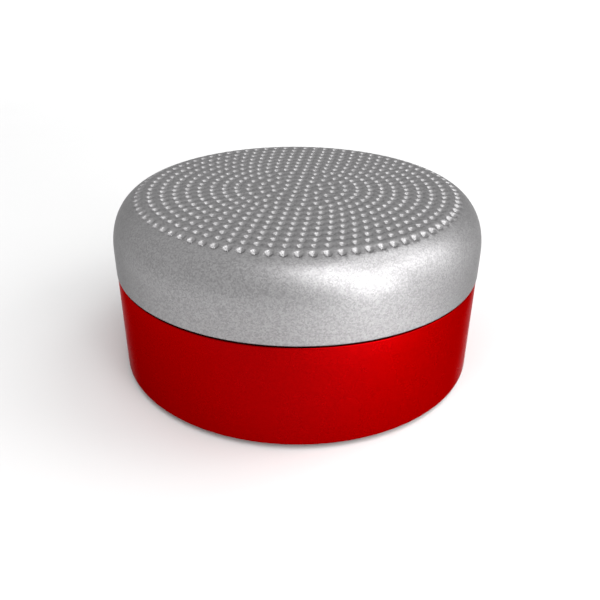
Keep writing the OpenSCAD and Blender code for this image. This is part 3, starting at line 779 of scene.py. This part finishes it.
def make_key(name, angle):
    """A key cap with a softened edge, a slightly crowned face and the flange that holds it in."""
    def ring(r, w, h, corner):
        return [outward(angle, r, t, PORT_Z + z) for t, z in rounded_outline(w, h, corner)]

    flange = (KEY_W + 2 * KEY_FLANGE, KEY_H + 2 * KEY_FLANGE, KEY_CORNER + 0.2 * MM)
    rings = [ring(KEY_BACK, *flange), ring(KEY_SHOULDER, *flange)]
    rings += [ring(KEY_SHOULDER, KEY_W, KEY_H, KEY_CORNER)]
    edge_r = KEY_FRONT - KEY_CROWN - KEY_EDGE
    for i in range(7):
        a = math.pi / 2 * i / 6
        inset = KEY_EDGE * (1 - math.cos(a))
        size = (KEY_W - 2 * inset, KEY_H - 2 * inset, KEY_CORNER - inset)
        rings.append(ring(edge_r + KEY_EDGE * math.sin(a), *size))
    flat = (KEY_W - 2 * KEY_EDGE, KEY_H - 2 * KEY_EDGE, KEY_CORNER - KEY_EDGE)
    for share in (0.8, 0.55, 0.3):
        rise = KEY_CROWN * (1 - share ** 2)
        rings.append(ring(KEY_FRONT - KEY_CROWN + rise, *(v * share for v in flat)))
    bm = bmesh.new()
    loft(bm, rings)
    closed_piece(name + "_cap", bm, name + "_key", "gloss_black", [name + "_button"], 40)
    make_mark(name, angle)


def make_mark(name, angle):
    """The raised mark on a key: triangles and bars, as (sideways, up) outlines."""
    right = [(-0.5, -0.62), (0.55, 0.0), (-0.5, 0.62)]
    left = [(-x, y) for x, y in reversed(right)]
    bar = [(-0.11, -0.62), (0.11, -0.62), (0.11, 0.62), (-0.11, 0.62)]
    shapes = {
        "previous": [(left, 0.18), (bar, -0.62)],
        "play": [(right, -0.42), (bar, 0.5), (bar, 0.95)],
        "next": [(right, -0.18), (bar, 0.62)],
    }[name]
    bm = bmesh.new()
    for shape, shift in shapes:
        middle = [sum(p[k] for p in shape) / len(shape) for k in (0, 1)]

        def ring(r, share):
            return [outward(angle, r, (middle[0] + (x - middle[0]) * share + shift) * MM,
                            PORT_Z + (middle[1] + (y - middle[1]) * share) * MM) for x, y in shape]

        rings = [ring(KEY_FRONT - 0.2 * MM, 1.0), ring(KEY_FRONT + MARK_PROUD * 0.4, 1.0)]
        rings.append(ring(KEY_FRONT + MARK_PROUD, 0.88))
        loft(bm, rings)
    closed_piece(name + "_mark", bm, name + "_key", "silver_paint")


def make_knob():
    """The slider's knob, with three grip ribs across its travel."""
    half = KNOB_W / 2
    low, top = KNOB_FRONT - KNOB_RIB_H, KNOB_FRONT
    profile = [(-half, KNOB_BACK), (half, KNOB_BACK), (half, low)]
    for middle in (0.5, 0.0, -0.5):
        for step, r in ((0.2, low), (0.12, top), (-0.12, top), (-0.2, low)):
            profile.append(((middle + step) * MM, r))
    profile.append((-half, low))
    bm = bmesh.new()
    shift = -KNOB_TRAVEL / 2
    rings = [[outward(SWITCH_ANGLE, r, t + shift, PORT_Z + z) for t, r in profile] for z in (-half, half)]
    loft(bm, rings)
    sharp = [e for e in bm.edges if e.is_manifold and e.calc_face_angle() > 0.5]
    bmesh.ops.bevel(bm, geom=sharp, offset=KNOB_EDGE, segments=2, affect="EDGES", profile=0.5)
    closed_piece("power_knob", bm, "power_slider", "black_plastic", ["switch_knob"], 30)


def inside(point, loop):
    """Whether a point lies inside a closed outline."""
    x, y = point
    hit = False
    for (ax, ay), (bx, by) in zip(loop, loop[1:] + loop[:1]):
        if (ay > y) != (by > y) and x < (bx - ax) * (y - ay) / (by - ay) + ax:
            hit = not hit
    return hit


def make_panel():
    """The curved control panel: a plate with a hidden flange and chamfered openings."""
    def border(spread):
        """The panel's outline as (angle, up) points, grown by spread all round."""
        low, high = WINDOW[0], WINDOW[1]
        grow = math.degrees(spread / PANEL_IN_R)
        angles = [low - grow + (high - low + 2 * grow) * i / 100 for i in range(101)]
        half = PANEL_HALF + spread
        rows = [-half + 2 * half * i / 8 for i in range(9)]
        points = [(a, rows[0]) for a in angles] + [(angles[-1], z) for z in rows[1:]]
        points += [(a, rows[-1]) for a in reversed(angles[:-1])]
        points += [(angles[0], z) for z in reversed(rows[1:-1])]
        return [(math.radians(a), z) for a, z in points]

    switch_w, switch_h = KNOB_W + KNOB_TRAVEL + 2 * KEY_GAP, KNOB_W + 2 * KEY_GAP
    cuts = [
        (CARD_ANGLE, CARD_SLOT_Z - PORT_Z, CARD_W, CARD_H, SLOT_CORNER),
        (USB_ANGLE, 0.0, USB_W, USB_H, USB_H / 2 - ROUND_END),
        (LED_ANGLE, 0.0, LED_D, LED_D, LED_D / 2 - ROUND_END),
        (SWITCH_ANGLE, 0.0, switch_w, switch_h, SLOT_CORNER),
    ]
    key_hole = (KEY_W + 2 * KEY_GAP, KEY_H + 2 * KEY_GAP, KEY_CORNER + KEY_GAP)
    cuts += [(angle, 0.0, *key_hole) for angle in KEYS.values()]

    def opening(cut, r, spread):
        angle, lift, w, h, corner = cut
        outline = rounded_outline(w + 2 * spread, h + 2 * spread, corner + spread, 6)
        outline = [(outline[i][0] * (1 - k) + outline[(i + 1) % len(outline)][0] * k,
                    outline[i][1] * (1 - k) + outline[(i + 1) % len(outline)][1] * k)
                   for i in range(len(outline)) for k in (0.0, 0.5)]
        return [(math.radians(angle) + math.asin(t / r), lift + z) for t, z in outline]

    bm = bmesh.new()

    def raise_loop(loop, r):
        return [bm.verts.new((r * math.cos(a), r * math.sin(a), PORT_Z + z)) for a, z in loop]

    def face_at(r, loops, grid):
        """Fills between the first loop and the others at radius r."""
        points, edges, owners = [], [], []
        for loop, verts in loops:
            first = len(points)
            points += [Vector((a * r, z)) for a, z in loop]
            owners += verts
            edges += [(first + i, first + (i + 1) % len(loop)) for i in range(len(loop))]
        rims = [[(a * r, z) for a, z in loop] for loop, _ in loops]
        for a, z in grid:
            spot = (a * r, z)
            if inside(spot, rims[0]) and not any(inside(spot, rim) for rim in rims[1:]):
                points.append(Vector(spot))
                owners.append(bm.verts.new((r * math.cos(a), r * math.sin(a), PORT_Z + z)))
        found = delaunay_2d_cdt(points, edges, [], 1, 1e-10)
        verts, faces, origins = found[0], found[2], found[3]
        for face in faces:
            middle = (sum(verts[i][0] for i in face) / 3, sum(verts[i][1] for i in face) / 3)
            if not any(inside(middle, rim) for rim in rims[1:]):
                bm.faces.new([owners[origins[i][0]] for i in face])

    small, large = border(0.0), border(PANEL_FLANGE)
    levels = {r: raise_loop(small, r) for r in (PANEL_OUT_R, FLANGE_R)}
    wide = {r: raise_loop(large, r) for r in (FLANGE_R, PANEL_IN_R)}
    bridge(bm, levels[PANEL_OUT_R], levels[FLANGE_R])
    bridge(bm, wide[FLANGE_R], wide[PANEL_IN_R])
    front, back = [(small, levels[PANEL_OUT_R])], [(large, wide[PANEL_IN_R])]
    for cut in cuts:
        steps = [(PANEL_OUT_R, OPENING_EDGE), (PANEL_OUT_R - OPENING_EDGE, 0.0), (PANEL_IN_R, 0.0)]
        loops = [opening(cut, r, spread) for r, spread in steps]
        verts = [raise_loop(loop, r) for loop, (r, _) in zip(loops, steps)]
        for a, b in zip(verts, verts[1:]):
            bridge(bm, a, b)
        front.append((loops[0], verts[0]))
        back.append((loops[-1], verts[-1]))
    grid = [(math.radians(WINDOW[0] + 1.0 + 1.6 * i), -PANEL_HALF + 2 * PANEL_HALF * k / 9)
            for i in range(76) for k in range(1, 9)]
    face_at(PANEL_OUT_R, front, grid)
    face_at(PANEL_IN_R, back, grid)
    face_at(FLANGE_R, [(large, wide[FLANGE_R]), (small, levels[FLANGE_R])], [])
    closed_piece("control_panel", bm, "housing", "black_plastic", ["port_panel"], 30)


def make_foot():
    """The rubber foot ring with softened edges."""
    out_r, height = foot_high[0], foot_high[2]
    in_r = out_r - FOOT_W
    profile = [(in_r, height)]
    profile += arc_points((in_r + FOOT_EDGE, FOOT_EDGE), FOOT_EDGE, 180, 270, 5)
    profile += arc_points((out_r - FOOT_EDGE, FOOT_EDGE), FOOT_EDGE, 270, 360, 5)
    profile += [(out_r, height)]
    bm = bmesh.new()
    turned(bm, profile, 160)
    closed_piece("rubber_foot", bm, "housing", "black_rubber", ["foot_ring"], 40)


for key_name, key_angle in KEYS.items():
    make_key(key_name, key_angle)
make_knob()
make_panel()
make_foot()


# ------------------------------------------------------------------ floor and light
FLOOR_HALF = 4.0


def make_floor():
    mesh = bpy.data.meshes.new("floor")
    corners = [(x * FLOOR_HALF, y * FLOOR_HALF, 0) for x, y in ((-1, -1), (1, -1), (1, 1), (-1, 1))]
    mesh.from_pydata(corners, [], [(0, 1, 2, 3)])
    floor = bpy.data.objects.new("floor", mesh)
    bpy.context.scene.collection.objects.link(floor)
    p = Paint("pale floor", (0.78, 0.78, 0.78), roughness=0.8)
    p.set("Base Color", p.blend(p.noise(30.0), (0.77, 0.77, 0.77), (0.79, 0.79, 0.79)))
    mesh.materials.append(p.material)


def soft_light(name, place, target, size, power, spread=180):
    """A square or oblong lamp that shines on target and isn't seen itself."""
    data = bpy.data.lights.new(name, "AREA")
    data.shape = "RECTANGLE"
    data.size, data.size_y = size
    data.energy = power
    data.spread = math.radians(spread)
    lamp = bpy.data.objects.new(name, data)
    bpy.context.scene.collection.objects.link(lamp)
    lamp.location = place
    direction = Vector(target) - Vector(place)
    lamp.rotation_euler = direction.to_track_quat("-Z", "Y").to_euler()
    lamp.visible_camera = False


WORLD_LIGHT = 0.77
LAMP_DISTANCE = 0.8
LAMP_SIZE = (0.34, 0.34)
LAMP_TARGET = Vector((0, 0, 0.02))
# Name, angle round the object from +X, angle up, power
LAMPS = (
    ("front right low", 315, 12, 1.83),
    ("front right", 300, 35, 1.36),
    ("front high", 292.5, 58, 1.28),
    ("right", 0, 35, 1.12),
    ("right back high", 22.5, 58, 0.88),
    ("right front", 330, 35, 0.85),
    ("right low", 0, 12, 0.6),
)
# Name, place on the floor, height above it, size, power, spread
FLOOR_LAMPS = (
    ("near floor", (0.052, -0.068), 0.12, (0.05, 0.05), 0.023, 50),
    ("far floor", (0.0, 0.95), 0.6, (1.6, 1.0), 7.5, 80),
)


def make_light():
    world = bpy.data.worlds.new("studio")
    bpy.context.scene.world = world
    world.use_nodes = True
    back = world.node_tree.nodes["Background"]
    back.inputs["Color"].default_value = (1.0, 1.0, 1.0, 1.0)
    back.inputs["Strength"].default_value = WORLD_LIGHT
    for name, azimuth, elevation, power in LAMPS:
        around, up = math.radians(azimuth), math.radians(elevation)
        aim = Vector((math.cos(around) * math.cos(up), math.sin(around) * math.cos(up), math.sin(up)))
        soft_light(name, LAMP_TARGET + aim * LAMP_DISTANCE, LAMP_TARGET, LAMP_SIZE, power)
    for name, place, height, size, power, spread in FLOOR_LAMPS:
        soft_light(name, (*place, height), (*place, 0), size, power, spread)


make_floor()
make_light()
bpy.context.scene.view_settings.view_transform = "Standard"
